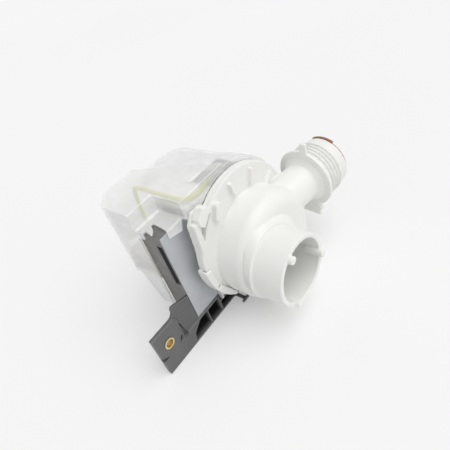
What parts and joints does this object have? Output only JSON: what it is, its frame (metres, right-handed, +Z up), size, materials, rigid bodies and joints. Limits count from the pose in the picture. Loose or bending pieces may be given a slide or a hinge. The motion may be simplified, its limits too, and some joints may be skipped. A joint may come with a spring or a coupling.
{
  "type": "washer drain pump",
  "caption": "Washer drain pump: round moulded pump head with a wide inlet and a ribbed hose outlet, on a small motor with a clear drip cover and a side bracket.",
  "frame": {"origin": "on the bracket's flat base, under the rotor axis, in the plane of the core's front face", "axes": "+Z up from the base; the inlet faces -Y along the rotor axis; the outlet points to +X"},
  "size_m": [0.159, 0.1026, 0.0916],
  "materials": {
    "head_white": "moulded, soft shine",
    "plate_white": "moulded, soft shine",
    "valve_brown": "matt moulded rubber",
    "seal_black": "matt",
    "bearing_bronze": "sintered",
    "bright_steel": "bright",
    "magnet_grey": "ground ferrite",
    "slide_white": "moulded",
    "impeller_white": "moulded",
    "core_steel": "punched sheet steel, satin",
    "bobbin_white": "moulded",
    "coil_tape": "wound copper under tape",
    "terminal_ivory": "moulded",
    "cover_clear": "natural translucent moulding",
    "bracket_black": "moulded, satin",
    "sleeve_brass": "turned",
    "wire_green": "extruded insulation"
  },
  "bodies": {
    "housing": {"pump_head": "head_white", "check_valve_ring": "valve_brown", "flange_seal": "seal_black", "motor_plate": "plate_white", "can_cover": "plate_white", "shaft_seal": "seal_black", "front_bearing": "bearing_bronze", "front_cushion": "seal_black", "rear_bearing": "bearing_bronze", "rear_cushion": "seal_black", "stator_core": "core_steel", "core_rivets": "bright_steel", "bobbin_upper": "bobbin_white", "bobbin_lower": "bobbin_white", "winding_upper": "coil_tape", "winding_lower": "coil_tape", "terminal_housing": "terminal_ivory", "terminal_tabs": "bright_steel", "drip_cover": "cover_clear", "bracket": "bracket_black", "bracket_sleeve": "sleeve_brass", "earth_lug": "bright_steel", "earth_wire": "wire_green"},
    "rotor": {"rotor_shaft": "bright_steel", "rotor_magnet": "magnet_grey", "thrust_washers": "slide_white", "drive_dog": "slide_white"},
    "impeller": {"impeller": "impeller_white"},
    "flap": {"check_valve_flap": "valve_brown"}
  },
  "joints": [
    {"name": "rotor_spin", "type": "hinge", "parent": "housing", "child": "rotor", "pos_m": [0, 0, 0.0468], "axis": [0, -1, 0], "continuous": true},
    {"name": "impeller_play", "type": "hinge", "parent": "rotor", "child": "impeller", "pos_m": [0, 0, 0.0468], "axis": [0, -1, 0], "range_deg": [-118, 118]},
    {"name": "flap_swing", "type": "hinge", "parent": "housing", "child": "flap", "pos_m": [0.07296, -0.02477, 0.0615], "axis": [-0.1392, -0.9903, 0], "range_deg": [0, 65]}
  ]
}
